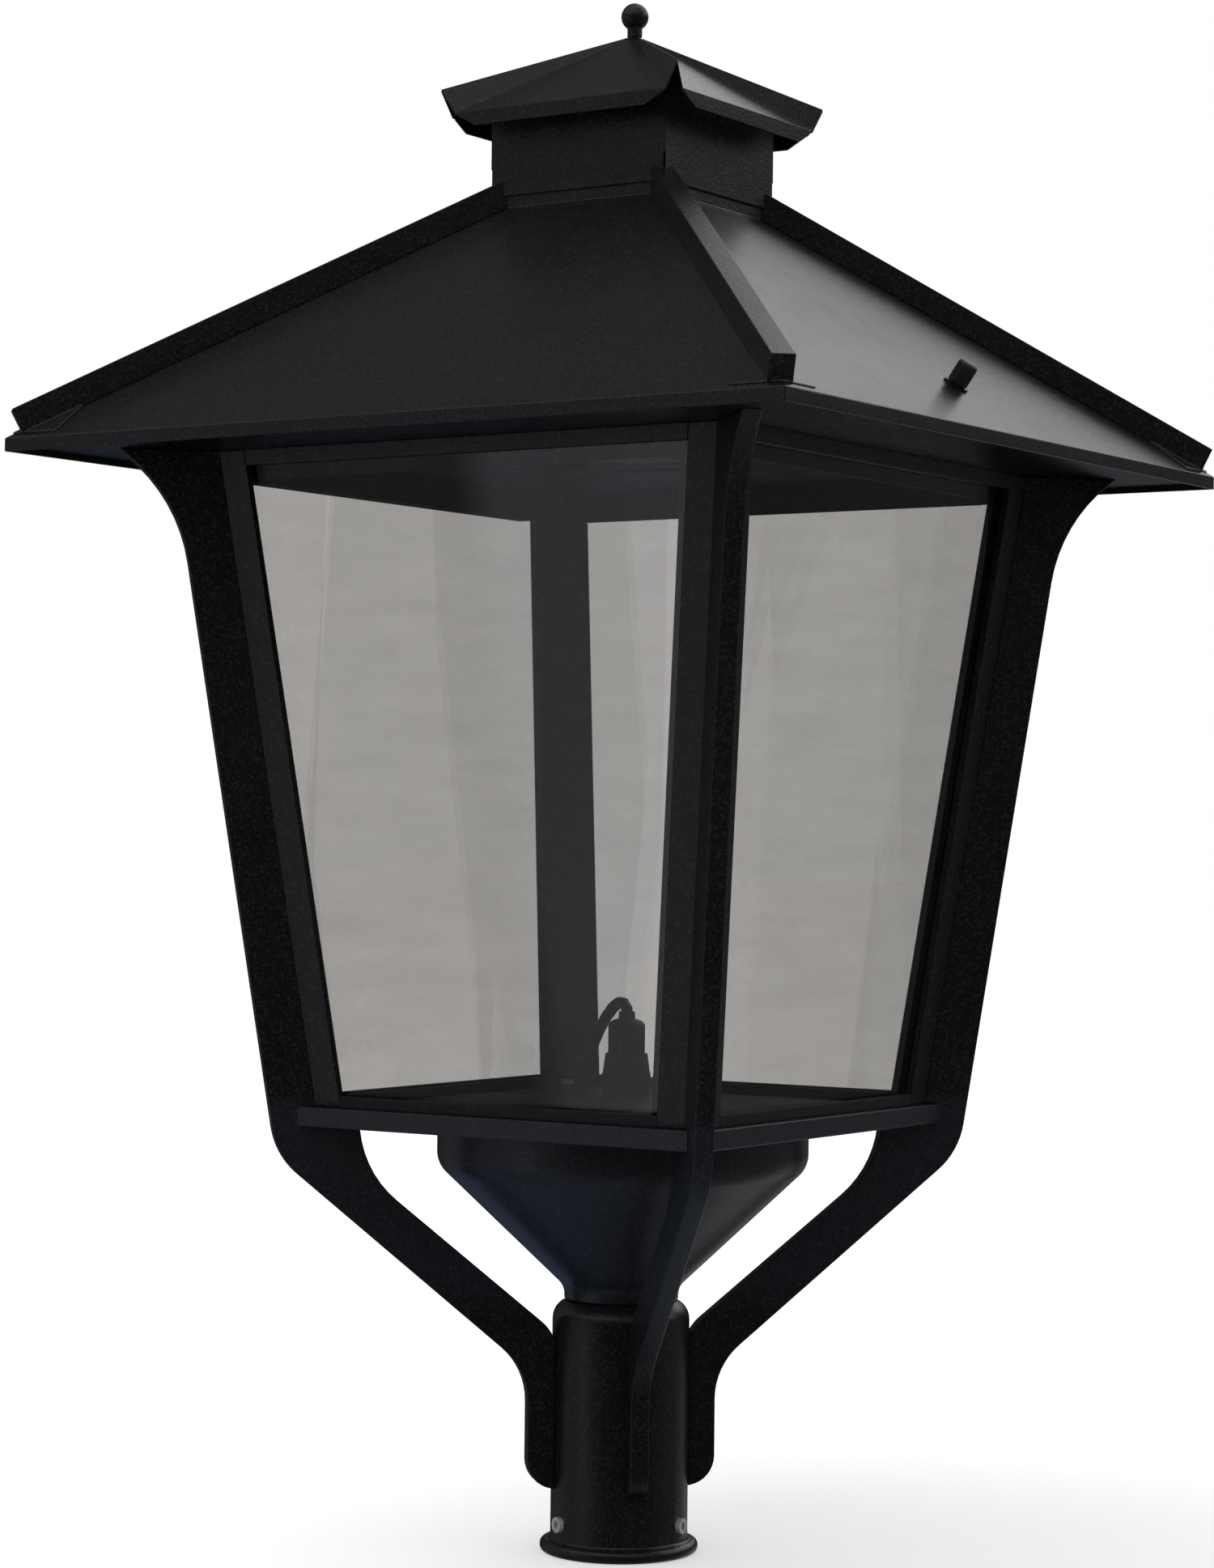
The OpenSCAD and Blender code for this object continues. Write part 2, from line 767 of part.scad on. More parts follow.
module lamp_board() {
  color("#e4e6df")
    difference() {
      translate([0, 0, board_z]) cylinder(r = light_r + 2, h = board_t, $fn = 96);
      for (i = [0:1]) rotate([0, 0, 180 * i])
        translate([light_r - 4, 0, board_z - 1]) cylinder(d = 5, h = board_t + 2, $fn = 24);
    }
  color("#f2d36b")
    for (ring = [[6, 12], [12, 24], [18, 36]])
      for (i = [0:ring[0] - 1])
        rotate([0, 0, 360 / ring[0] * i])
          translate([ring[1] - 1.5, -1.5, board_z - 0.8]) cube([3, 3, 0.8]);
}

module heat_sink() {
  half = sink_w / 2;
  pitch = (sink_w - fin_t) / (fin_count - 1);
  leg = 16;
  color(bright)
    difference() {
      union() {
        translate([-half, -half, sink_z]) cube([sink_w, sink_w, sink_base]);
        for (i = [0:fin_count - 1])
          translate([-half + pitch * i, -half, sink_z + sink_base - 0.5])
            cube([fin_t, sink_w, fin_h + 0.5]);
        for (i = [0:3])
          rotate([0, 0, 90 * i])
            translate([half - leg, half - leg, canopy_top])
              cube([leg, leg, sink_z - canopy_top + 1]);
      }
      for (i = [0:3])
        rotate([0, 0, 90 * i])
          translate([half - 8, half - 8, canopy_top - 1]) {
            cylinder(d = small_screw_hole, h = big, $fn = 32);
            translate([0, 0, sink_z + sink_base - canopy_top + 1])
              cylinder(d = 9, h = big, $fn = 32);
          }
    }
}

module sink_screws() {
  inset = sink_w / 2 - 8;
  color(bright)
    for (i = [0:3])
      rotate([0, 0, 90 * i])
        translate([inset, inset, sink_z + sink_base])
          screw(small_screw_d, sink_z + sink_base - canopy_z);
}

// Wiring gear under the deck
bracket_l = driver_l + 34;
bracket_w = 92;
bracket_t = 2;
bracket_z = web_under - bracket_drop;
bracket_holes = [for (x = [-1, 1], y = [-1, 1]) [x * (bracket_l / 2 - 6), y * 24]];
driver_y = -22;
block_x = -50;
block_y = 22;

module driver_bracket() {
  color(bright)
    difference() {
      union() {
        translate([14 - bracket_l / 2, -bracket_w / 2, bracket_z - bracket_t])
          cube([bracket_l - 28, bracket_w, bracket_t]);
        for (s = [-1, 1])
          scale([s, 1, 1]) {
            translate([bracket_l / 2 - 14, -bracket_w / 2, bracket_z - bracket_t])
              cube([bracket_t, bracket_w, bracket_drop + bracket_t]);
            translate([bracket_l / 2 - 14, -bracket_w / 2, web_under - bracket_t])
              cube([14, bracket_w, bracket_t]);
          }
      }
      for (p = bracket_holes)
        translate([p[0], p[1], web_under - bracket_t - 1])
          cylinder(d = small_screw_hole, h = bracket_t + 2, $fn = 32);
    }
}

module driver() {
  z = bracket_z - bracket_t - driver_h;
  tab = 8;
  color("#e6e6e2") {
    translate([-driver_l / 2, driver_y - driver_w / 2, z])
      cube([driver_l, driver_w, driver_h]);
    for (s = [-1, 1])
      scale([s, 1, 1])
        translate([driver_l / 2 - 1, driver_y - driver_w / 2, z + driver_h - 2])
          difference() {
            cube([tab + 1, driver_w, 2]);
            translate([tab / 2 + 1, driver_w / 2, -1]) cylinder(d = 4, h = 4, $fn = 24);
          }
  }
}

module terminal_block() {
  z = bracket_z - bracket_t;
  color("#3a3c40")
    translate([block_x, block_y - block_w / 2, z])
      difference() {
        translate([0, 0, -block_h]) cube([block_poles * block_pitch + 2, block_w, block_h]);
        for (i = [0:block_poles - 1])
          translate([block_pitch * (i + 0.5) + 1, block_w / 2, -block_h - 1])
            cylinder(d = block_pitch * 0.56, h = block_h / 2, $fn = 24);
      }
}

module surge_protector() {
  spout_l = 5;
  color("#2f4f7a")
    translate([0, block_y - surge_w / 2, bracket_z - bracket_t - surge_h])
      union() {
        cube([surge_l, surge_w, surge_h]);
        translate([surge_l, surge_w / 2, surge_h / 2])
          rotate([0, 90, 0]) cylinder(d = surge_h * 0.45, h = spout_l, $fn = 32);
      }
}

// Cable gland and lead
lead_hole = 2 * (lead_d / 2 + seat_gap);

module at_gland(z) {
  translate([gland_pos[0], gland_pos[1], z]) children();
}

// Hexagon foot on a sealing flange, with a tapered neck under the dome nut
module gland_body() {
  corners_d = gland_af / cos(30);
  flange_h = 2;
  hex_h = gland_body_h * 0.52;
  color(nylon)
    at_gland(0)
      difference() {
        union() {
          translate([0, 0, deck_top]) cylinder(d = gland_af, h = flange_h, $fn = 48);
          translate([0, 0, deck_top + flange_h - 0.5])
            intersection() {
              cylinder(d = corners_d, h = hex_h - flange_h + 0.5, $fn = 6);
              cylinder(d = corners_d * 0.98, h = hex_h, $fn = 64);
            }
          translate([0, 0, deck_top + hex_h])
            cylinder(d1 = gland_af, d2 = gland_nut_d + 3.5, h = gland_body_h - hex_h, $fn = 64);
          translate([0, 0, web_under - 9])
            cylinder(d = gland_thread, h = deck_web + 10, $fn = 48);
        }
        translate([0, 0, web_under - 10])
          cylinder(d = lead_hole, h = big / 8, $fn = 32);
      }
}

module gland_nut() {
  r = gland_nut_d / 2;
  mouth_r = lead_hole / 2 + 1.4;
  outline = rounded([
    [lead_hole / 2, 0, 0],
    [r, 0, 0],
    [r, gland_nut_h - 2, 5],
    [mouth_r, gland_nut_h, 0.6],
    [mouth_r - 0.3, gland_nut_h + gland_nozzle_h, 0.8],
    [lead_hole / 2, gland_nut_h + gland_nozzle_h, 0],
  ]);
  color(nylon)
    at_gland(deck_top + gland_body_h)
      difference() {
        rotate_extrude($fn = 64) polygon(outline);
        for (i = [0:11])
          rotate([0, 0, 30 * i]) translate([r + 1.1, 0, -1])
            cylinder(d = 4, h = gland_nut_h - 7, $fn = 24);
      }
}

module gland_locknut() {
  color(nylon)
    at_gland(web_under - 6)
      difference() {
        cylinder(d = (gland_thread + 8) / cos(30), h = 6, $fn = 6);
        translate([0, 0, -1]) cylinder(d = gland_thread + 2 * fit_gap, h = 8, $fn = 48);
      }
}

// The lead runs from the driver through the gland, over in an arch and down beside
// the back left corner, then up the wireway to the light engine.
lead_route = [
  [-40, 31, 257], [-40, 42, 257], [-42, 58, 253], [-47, 74, 254], [-52, 84, 262],
  [-53, 85, 274], [-53, 85, 290], [-53, 85, 306], [-53, 85, 322], [-53, 85, 338],
  [-53, 85, 346], [-57.5, 87.8, 349.2], [-64, 91.7, 349.2], [-71.5, 96.2, 345.5],
  [-80, 101.2, 339], [-88, 106, 331], [-95, 110, 322], [-101, 113.5, 313],
  [-108, 118, 307], [-116, 123, 304.5], [-124, 127.7, 306.5], [-130, 131, 314],
  [-133, 133, 326], [-135.5, 135.5, 346], [-140.5, 140.5, 390], [-145, 145, 430],
  [-149.5, 149.5, 470], [-154, 154, 510], [-158.5, 158.5, 550], [-163, 163, 590],
  [-167.5, 167.5, 630], [-172, 172, 670], [-175, 175, 696], [-175.5, 175.5, 710],
  [-172, 172, 723], [-160, 160, 732], [-140, 140, 735], [-116, 116, 732],
  [-94, 94, 726], [-78, 78, 721], [-66, 66, 718],
];
lead_sides = 8;

module lead() {
  last = len(lead_route) - 1;
  points = [
    for (i = [0:last])
      let (
        ahead = unit(lead_route[min(i + 1, last)] - lead_route[max(i - 1, 0)]),
        across = unit(cross(ahead, [0.62, 0.7, 0.05])),
        up = cross(across, ahead)
      )
      for (k = [0:lead_sides - 1])
        lead_route[i] + lead_d / 2
          * (cos(360 / lead_sides * k) * across + sin(360 / lead_sides * k) * up)
  ];
  faces = [
    [for (k = [0:lead_sides - 1]) k],
    for (i = [0:last - 1], k = [0:lead_sides - 1])
      let (n = (k + 1) % lead_sides)
      [
        i * lead_sides + n, i * lead_sides + k,
        (i + 1) * lead_sides + k, (i + 1) * lead_sides + n
      ],
    [for (k = [lead_sides - 1:-1:0]) last * lead_sides + k],
  ];
  color(nylon) polyhedron(points = points, faces = faces);
}

// Roof
under_drop = roof_t / cos(roof_pitch);
collar_half = collar_w / 2;
collar_z = roof_z(collar_half) + collar_lift;
curb_w = collar_w - 2 * collar_t - 2 * seat_gap;
curb_half = curb_w / 2;

module roof_shell() {
  color(coat)
    difference() {
      union() {
        difference() {
          roof_solid();
          slab(roof_z(curb_half - collar_t), big);
        }
        square_tube(curb_w, collar_t, under_z(curb_half), collar_z + curb_h);
      }
      difference() {
        roof_solid(under_drop, roof_t);
        slab(under_z(curb_half - collar_t), big);
      }
      translate([collar_t - curb_half, collar_t - curb_half, fascia_z])
        cube([curb_w - 2 * collar_t, curb_w - 2 * collar_t, big / 4]);
      translate([roof_t - eave_half, roof_t - eave_half, fascia_z - 1])
        cube([eave_w - 2 * roof_t, eave_w - 2 * roof_t, 2]);
      at_latch(-10) cylinder(d = bush_d + 2 * fit_gap, h = 20, $fn = 48);
    }
}

// Rise of the hips against their run
hip_rise = tan(roof_pitch) / sqrt(2);
hip_angle = atan(hip_rise);
eave_corner_r = eave_half * sqrt(2);

module hip_bar(i) {
  end_r = eave_corner_r - hip_back;
  end_z = roof_z(end_r / sqrt(2)) + hip_h / cos(hip_angle);
  color(coat)
    rotate([0, 0, 90 * i - 45])
      difference() {
        union() {
          translate([end_r, 0, end_z])
            rotate([0, hip_angle, 0])
              translate([-eave_corner_r, -hip_w / 2, -hip_h - hip_w])
                cube([eave_corner_r, hip_w, hip_h + hip_w]);
          intersection() {
            translate([0, 0, flashing_t]) rotate([0, 0, 45]) roof_solid();
            rotate([0, 0, 45])
              translate([eave_half - flashing_in - flashing_w, flashing_in - eave_half, fascia_z])
                cube([flashing_w, flashing_w, flashing_w]);
          }
        }
        rotate([0, 0, 45]) roof_solid();
        rotate([0, 0, 45])
          translate([-collar_half, -collar_half, collar_z])
            cube([collar_w, collar_w, big]);
        rotate([0, 0, 45])
          translate([-curb_half, -curb_half, 0])
            cube([curb_w, curb_w, big]);
      }
}

// Cupola
cap_half = cap_w / 2;
cap_top = collar_z + cap_rise;
cap_fold_z = cap_top - cap_fold_drop;
cap_tip_z = cap_fold_z + cap_tip_rise;
cap_panel_run = cap_fold_drop / cap_half;
cap_under = cap_top - cap_t;
collar_top = cap_under - cap_panel_run * collar_half - seat_gap;

module cupola_collar() {
  slit_z = roof_z(collar_half) + hip_h / cos(hip_angle);
  color(coat)
    difference() {
      square_tube(collar_w, collar_t, collar_z, collar_top);
      for (i = [0:3])
        rotate([0, 0, 90 * i + 45])
          translate([collar_half, -slit_w / 2, slit_z]) cube([collar_w, slit_w, slit_h]);
      for (s = [-1, 1])
        scale([s, 1, 1])
          translate([collar_half - collar_t - 1, 0, strap_z - strap_drop / 2])
            rotate([0, 90, 0]) cylinder(d = small_screw_hole, h = collar_t + 2, $fn = 32);
    }
}

// Cap folded from one sheet: flat panels, raised hips and short skirts
module cupola_cap() {
  tip = cap_half + cap_tip_out;
  one = [
    [-cap_fold_half, -cap_half, cap_fold_z],
    [cap_fold_half, -cap_half, cap_fold_z],
    [tip, -tip, cap_tip_z],
  ];
  ring = [
    for (i = [0:3], p = one)
      [p[0] * cos(90 * i) - p[1] * sin(90 * i), p[0] * sin(90 * i) + p[1] * cos(90 * i), p[2]]
  ];
  n = len(ring);
  points = concat(
    [[0, 0, cap_top]], ring,
    [[0, 0, cap_under]], [for (p = ring) p - [0, 0, cap_t]]
  );
  faces = [
    for (i = [0:n - 1])
      let (a = 1 + i, b = 1 + (i + 1) % n, c = n + 2 + i, d = n + 2 + (i + 1) % n)
      each [[0, b, a], [n + 1, c, d], [a, b, d, c]]
  ];
  skirt = [
    [-cap_fold_half, 0],
    [cap_fold_half, 0],
    [cap_fold_half - 3, -3],
    [cap_fold_half - cap_skirt_cut, -cap_skirt],
    [cap_skirt_cut - cap_fold_half, -cap_skirt],
    [3 - cap_fold_half, -3],
  ];
  color(coat)
    difference() {
      union() {
        polyhedron(points = points, faces = faces);
        for (i = [0:3])
          rotate([0, 0, 90 * i])
            translate([0, -cap_half, cap_fold_z])
              rotate([90, 0, 0])
                translate([0, 0, -cap_t])
                  linear_extrude(height = cap_t) polygon(skirt);
      }
      translate([0, 0, cap_fold_z]) cylinder(d = stud_d + 4 * fit_gap, h = big / 8, $fn = 48);
    }
}

strap_z = cap_top - strap_below;

module cap_strap() {
  half = collar_half - collar_t;
  color(bright)
    difference() {
      union() {
        translate([-half, -strap_w / 2, strap_z - strap_t]) cube([2 * half, strap_w, strap_t]);
        for (s = [-1, 1])
          scale([s, 1, 1]) {
            translate([half - strap_t, -strap_w / 2, strap_z - strap_drop])
              cube([strap_t, strap_w, strap_drop]);
            translate([half - 1, 0, strap_z - strap_drop / 2])
              rotate([0, 90, 0]) cylinder(d = small_screw_d, h = collar_t + 1, $fn = 32);
            translate([collar_half, 0, strap_z - strap_drop / 2])
              rotate([0, 90, 0])
                cylinder(d1 = small_screw_d * 1.8, d2 = small_screw_d * 1.1, h = 1.6, $fn = 32);
          }
      }
      translate([0, 0, strap_z - strap_t - 1])
        cylinder(d = stud_d + 2 * fit_gap, h = strap_t + 2, $fn = 48);
    }
}

finial_seat = cap_top - 1.1;
nut_h = 6.5;

module finial() {
  ball_z = finial_seat + finial_neck_h;
  color(coat) {
    translate([0, 0, ball_z]) sphere(d = finial_d, $fn = 64);
    translate([0, 0, finial_seat]) cylinder(d = finial_neck_d, h = finial_neck_h, $fn = 64);
    translate([0, 0, strap_z - strap_t - nut_h - 3])
      cylinder(d = stud_d, h = finial_seat - strap_z + strap_t + nut_h + 4, $fn = 48);
  }
}

module finial_nut() {
  color(bright)
    translate([0, 0, strap_z - strap_t - nut_h])
      difference() {
        cylinder(d = 13 / cos(30), h = nut_h, $fn = 6);
        translate([0, 0, -1]) cylinder(d = stud_d + 2 * fit_gap, h = nut_h + 2, $fn = 48);
      }
}

// Roof latch, drawn on the roof's surface with its local Z out of the panel
bush_d = stem_d + 5;
bush_flange_t = 1.5;
bush_l = 8;
latch_nut_h = 3.2;

module at_latch(z) {
  translate([latch_x, 0, roof_z(latch_x)])
    rotate([0, roof_pitch, 0])
      translate([0, 0, z]) children();
}

module latch_bush() {
  color(bright)
    at_latch(0)
      difference() {
        union() {
          cylinder(d = bush_d + 5, h = bush_flange_t, $fn = 48);
          translate([0, 0, -bush_l]) cylinder(d = bush_d, h = bush_l + 0.5, $fn = 48);
          translate([0, 0, -roof_t - 3])
            difference() {
              cylinder(d = (bush_d + 4) / cos(30), h = 3, $fn = 6);
              translate([0, 0, -1]) cylinder(d = bush_d - 1, h = 5, $fn = 48);
            }
        }
        translate([0, 0, -bush_l - 1])
          cylinder(d = stem_d + 2 * fit_gap, h = bush_l + bush_flange_t + 2, $fn = 48);
      }
}

// Fluted knob with a pointer, on a stem with a square end for the tongue
module latch_knob() {
  base = bush_flange_t + seat_gap;
  top_r = 3;
  r = knob_d / 2;
  outline = rounded([
    [0, 0, 0],
    [r, 0, 1],
    [r, knob_h, top_r],
    [0, knob_h, 0],
  ]);
  color(nylon)
    at_latch(base) {
      difference() {
        rotate_extrude($fn = 64) polygon(outline);
        for (i = [0:knob_flutes - 1])
          rotate([0, 0, 360 / knob_flutes * (i + 0.5)])
            translate([r + 0.7, 0, 3]) cylinder(d = 2.4, h = knob_h, $fn = 24);
      }
      rotate([0, 0, -90])
        translate([0, -1, 0.4]) cube([r + 3, 2, 2]);
      translate([0, 0, -base - tongue_depth])
        cylinder(d = stem_d, h = base + tongue_depth + 1, $fn = 48);
      translate([
        -stem_d * 0.35, -stem_d * 0.35, -base - tongue_depth - tongue_t - latch_nut_h
      ])
        cube([stem_d * 0.7, stem_d * 0.7, tongue_t + latch_nut_h + 0.5]);
    }
}

// At rest the tongue points along the eave, clear of the strike
module latch_tongue() {
  hole = stem_d * 0.7 + 2 * fit_gap;
  color(bright)
    at_latch(-tongue_depth - tongue_t)
      rotate([0, 0, -90])
        difference() {
          union() {
            cylinder(d = tongue_w, h = tongue_t, $fn = 48);
            translate([0, -tongue_w / 2, 0])
              cube([tongue_l - tongue_w / 2, tongue_w, tongue_t]);
            translate([tongue_l - tongue_w / 2, 0, 0])
              cylinder(d = tongue_w, h = tongue_t, $fn = 48);
          }
          translate([-hole / 2, -hole / 2, -1]) cube([hole, hole, tongue_t + 2]);
        }
}

module latch_nut() {
  hole = stem_d * 0.7 + 2 * fit_gap;
  color(bright)
    at_latch(-tongue_depth - tongue_t - latch_nut_h)
      difference() {
        cylinder(d = 9 / cos(30), h = latch_nut_h, $fn = 6);
        translate([-hole / 2, -hole / 2, -1]) cube([hole, hole, latch_nut_h + 2]);
      }
}

// The strike stands on the canopy plate, its lip over the path of the tongue
module latch_strike() {
  lip_from = tongue_w / 2 + 3;
  lip_top = latch_gap - tongue_depth + strike_t;
  post_x = latch_x + (tongue_l + 2) * cos(roof_pitch) + lip_top * sin(roof_pitch);
  lip_slope = tan(roof_pitch);
  lip_drop = strike_t / cos(roof_pitch);
  start_x = latch_x + lip_from * cos(roof_pitch) + lip_top * sin(roof_pitch);
  start_z = roof_z(latch_x) - lip_from * sin(roof_pitch) + lip_top * cos(roof_pitch);
  end_z = start_z - (post_x + strike_t - start_x) * lip_slope;
  outline = [
    [start_x, start_z],
    [start_x, start_z - lip_drop],
    [post_x, start_z - lip_drop - (post_x - start_x) * lip_slope],
    [post_x, canopy_top + strike_t],
    [post_x - 14, canopy_top + strike_t],
    [post_x - 14, canopy_top],
    [post_x + strike_t, canopy_top],
    [post_x + strike_t, end_z],
  ];
  color(bright)
    difference() {
      rotate([90, 0, 0])
        linear_extrude(height = strike_w, center = true) polygon(outline);
      for (y = [-1, 1])
        translate([post_x - 8, y * strike_w / 4, canopy_top - 1])
          cylinder(d = 4, h = strike_t + 2, $fn = 32);
    }
}

fitter();
clamp_screws();
wiring_bowl();
bowl_screws();
deck();
deck_screws();
for (i = [0:3]) {
  arm(i);
  post(i);
  glass_stop(i);
  hip_bar(i);
  pane(i);
  sill(i);
  top_rail(i);
}
wireway_cover();
canopy_plate();
canopy_screws();
lens();
lamp_board();
heat_sink();
sink_screws();
driver_bracket();
driver();
terminal_block();
surge_protector();
gland_body();
gland_nut();
gland_locknut();
lead();
latch_strike();
roof_shell();
cupola_collar();
cupola_cap();
cap_strap();
finial();
finial_nut();
latch_bush();
latch_knob();
latch_tongue();
latch_nut();
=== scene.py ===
"""Post top lantern in satin black powder coat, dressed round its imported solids."""

import json
import math

import bmesh
import bpy
from mathutils import Matrix, Vector

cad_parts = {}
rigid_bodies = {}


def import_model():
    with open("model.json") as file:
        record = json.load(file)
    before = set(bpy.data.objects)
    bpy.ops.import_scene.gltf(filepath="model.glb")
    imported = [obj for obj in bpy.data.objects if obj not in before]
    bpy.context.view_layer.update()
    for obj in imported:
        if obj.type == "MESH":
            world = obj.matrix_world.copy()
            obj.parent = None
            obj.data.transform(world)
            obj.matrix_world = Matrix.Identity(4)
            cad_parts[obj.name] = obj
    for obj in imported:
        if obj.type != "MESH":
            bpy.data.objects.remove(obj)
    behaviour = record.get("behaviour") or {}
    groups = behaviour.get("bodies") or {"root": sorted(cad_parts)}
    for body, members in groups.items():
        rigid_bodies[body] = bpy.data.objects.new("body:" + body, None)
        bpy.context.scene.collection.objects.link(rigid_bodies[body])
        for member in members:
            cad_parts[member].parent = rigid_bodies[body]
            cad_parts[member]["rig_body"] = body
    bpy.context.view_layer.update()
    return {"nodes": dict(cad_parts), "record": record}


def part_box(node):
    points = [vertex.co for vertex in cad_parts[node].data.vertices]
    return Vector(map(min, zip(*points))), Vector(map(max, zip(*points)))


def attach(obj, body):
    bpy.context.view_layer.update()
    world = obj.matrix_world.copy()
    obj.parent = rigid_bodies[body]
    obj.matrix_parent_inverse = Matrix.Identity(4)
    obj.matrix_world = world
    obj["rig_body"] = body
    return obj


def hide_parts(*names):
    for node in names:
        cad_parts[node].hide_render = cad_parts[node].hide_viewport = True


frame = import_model()

MM = 0.001
CORNERS = ("front_right", "back_right", "back_left", "front_left")
SIDES = ("right", "back", "left", "front")


# Shader sockets and materials


class Value:
    """A shader output that takes part in arithmetic by adding Math nodes."""

    def __init__(self, finish, socket):
        self.finish = finish
        self.socket = socket

    def __add__(self, other):
        return self.finish.math("ADD", self, other)

    def __radd__(self, other):
        return self.finish.math("ADD", other, self)

    def __sub__(self, other):
        return self.finish.math("SUBTRACT", self, other)

    def __rsub__(self, other):
        return self.finish.math("SUBTRACT", other, self)

    def __mul__(self, other):
        return self.finish.math("MULTIPLY", self, other)

    def __rmul__(self, other):
        return self.finish.math("MULTIPLY", other, self)

    def __pow__(self, other):
        return self.finish.math("POWER", self, other)


class Finish:
    """A material, or the world, that is being put together from nodes."""

    def __init__(self, name, owner=None):
        self.owner = owner or bpy.data.materials.new(name)
        self.owner.use_nodes = True
        self.tree = self.owner.node_tree
        self.tree.nodes.clear()

    def node(self, kind, sockets=None, **settings):
        """Adds a node: first its settings, then the values or links of its sockets."""
        made = self.tree.nodes.new("ShaderNode" + kind)
        for name, value in settings.items():
            setattr(made, name, value)
        for name, value in (sockets or {}).items():
            self.feed(made.inputs[name], value)
        return made

    def feed(self, socket, value):
        if isinstance(value, Value):
            value = value.socket
        if isinstance(value, bpy.types.NodeSocket):
            self.tree.links.new(value, socket)
        else:
            socket.default_value = value

    def math(self, operation, a, b):
        made = self.node("Math", {0: a, 1: b}, operation=operation)
        return Value(self, made.outputs[0])

    def coordinates(self):
        return self.node("TexCoord").outputs["Object"]

    def noise(self, scale, detail=2.0, roughness=0.5, vector=None):
        sockets = {"Scale": scale, "Detail": detail, "Roughness": roughness}
        sockets["Vector"] = vector or self.coordinates()
        made = self.node("TexNoise", sockets)
        return Value(self, made.outputs["Fac"])

    def spread(self, value, low, high, to_low=0.0, to_high=1.0):
        """Maps a value from one range to another, and holds it there."""
        sockets = {"Value": value, "From Min": low, "From Max": high}
        sockets.update({"To Min": to_low, "To Max": to_high})
        return Value(self, self.node("MapRange", sockets).outputs["Result"])

    def mix(self, factor, a, b):
        """Mixes two colours."""
        made = self.node("Mix", {0: factor, 6: a, 7: b}, data_type="RGBA")
        return made.outputs[2]

    def layer(self, factor, first, second):
        """Mixes two shaders."""
        return self.node("MixShader", {0: factor, 1: first.outputs[0], 2: second.outputs[0]})

    def bump(self, height, distance, below=None):
        sockets = {"Height": height, "Distance": distance}
        if below is not None:
            sockets["Normal"] = below
        return self.node("Bump", sockets).outputs["Normal"]

    def surface(self, shader):
        kind = "OutputWorld" if isinstance(self.owner, bpy.types.World) else "OutputMaterial"
        self.node(kind, {"Surface": shader.outputs[0]})
        return self.owner


def rgba(red, green, blue):
    return (red, green, blue, 1.0)


def scaled(colour, share, extra=0.0):
    return rgba(*(share * part + extra for part in colour[:3]))


def powder_coat(name, colour, roughness):
    """Powder coat: fine orange peel, cloudy gloss, a little dust and a painted bluish sheen in a band low on
    the lantern.
    """
    finish = Finish(name)
    clouds = finish.noise(7.0, 3.0, 0.55)
    patches = finish.noise(38.0, 4.0, 0.6)
    peel = finish.noise(520.0, 3.0, 0.6)
    fine = finish.noise(1500.0, 1.0, 0.5)
    dust = finish.spread(patches, 0.52, 0.78) * finish.spread(clouds, 0.4, 0.7)
    tone = finish.mix(finish.spread(clouds, 0.3, 0.7), scaled(colour, 0.72), colour)
    split = finish.node("SeparateXYZ", {"Vector": finish.coordinates()})
    height = Value(finish, split.outputs["Z"])
    # Painted sheen: a lighter, bluish band between heights 0.150 and 0.296 m, broken up by the patches.
    sheen_band = finish.spread(height, 0.150, 0.175) * finish.spread(height, 0.296, 0.290)
    tone = finish.mix(sheen_band * (0.6 + patches * 0.6), tone, PAINTED_SHEEN_BLUE)
    tone = finish.mix(dust * 0.5, tone, scaled(colour, 1.9, 0.002))
    tone = finish.mix(finish.spread(peel, 0.5, 0.66) * 0.6, tone, SPECK)
    gloss = finish.spread(clouds, 0.3, 0.7, roughness - 0.03, roughness + 0.03)
    gloss = gloss + dust * 0.08 + (fine - 0.5) * 0.06
    skin = finish.bump(fine, 0.02 * MM, below=finish.bump(peel, 0.25 * MM))
    sockets = {"Base Color": tone, "Roughness": gloss, "IOR": 1.5, "Normal": skin}
    return finish.surface(finish.node("BsdfPrincipled", sockets))


def plated_steel(name, dark, bright):
    """Plated steel: a faint brushed streak and blotchy brightness."""
    finish = Finish(name)
    streaks = finish.node("Mapping", {"Vector": finish.coordinates(), "Scale": (60, 900, 60)})
    brushed = finish.noise(3.0, 3.0, 0.6, streaks.outputs[0])
    blotches = finish.noise(160.0, 3.0)
    shader = finish.node(
        "BsdfPrincipled",
        {
            "Base Color": finish.mix(finish.spread(blotches, 0.35, 0.7), dark, bright),
            "Metallic": 0.6,
            "Roughness": finish.spread(brushed, 0.3, 0.7, 0.3, 0.5),
            "Normal": finish.bump(brushed, 0.02 * MM),
        },
    )
    return finish.surface(shader)


def plain_aluminium():
    """Extruded aluminium with die lines along the fins."""
    finish = Finish("plain_aluminium")
    lines = finish.node("Mapping", {"Vector": finish.coordinates(), "Scale": (900, 12, 900)})
    drawn = finish.noise(2.0, 3.0, 0.6, lines.outputs[0])
    clouds = finish.noise(30.0, 3.0)
    tone = finish.mix(clouds, rgba(0.58, 0.59, 0.6), rgba(0.72, 0.72, 0.71))
    shader = finish.node(
        "BsdfPrincipled",
        {
            "Base Color": tone,
            "Metallic": 1.0,
            "Roughness": finish.spread(drawn, 0.3, 0.7, 0.3, 0.5),
            "Normal": finish.bump(drawn, 0.03 * MM),
        },
    )
    return finish.surface(shader)


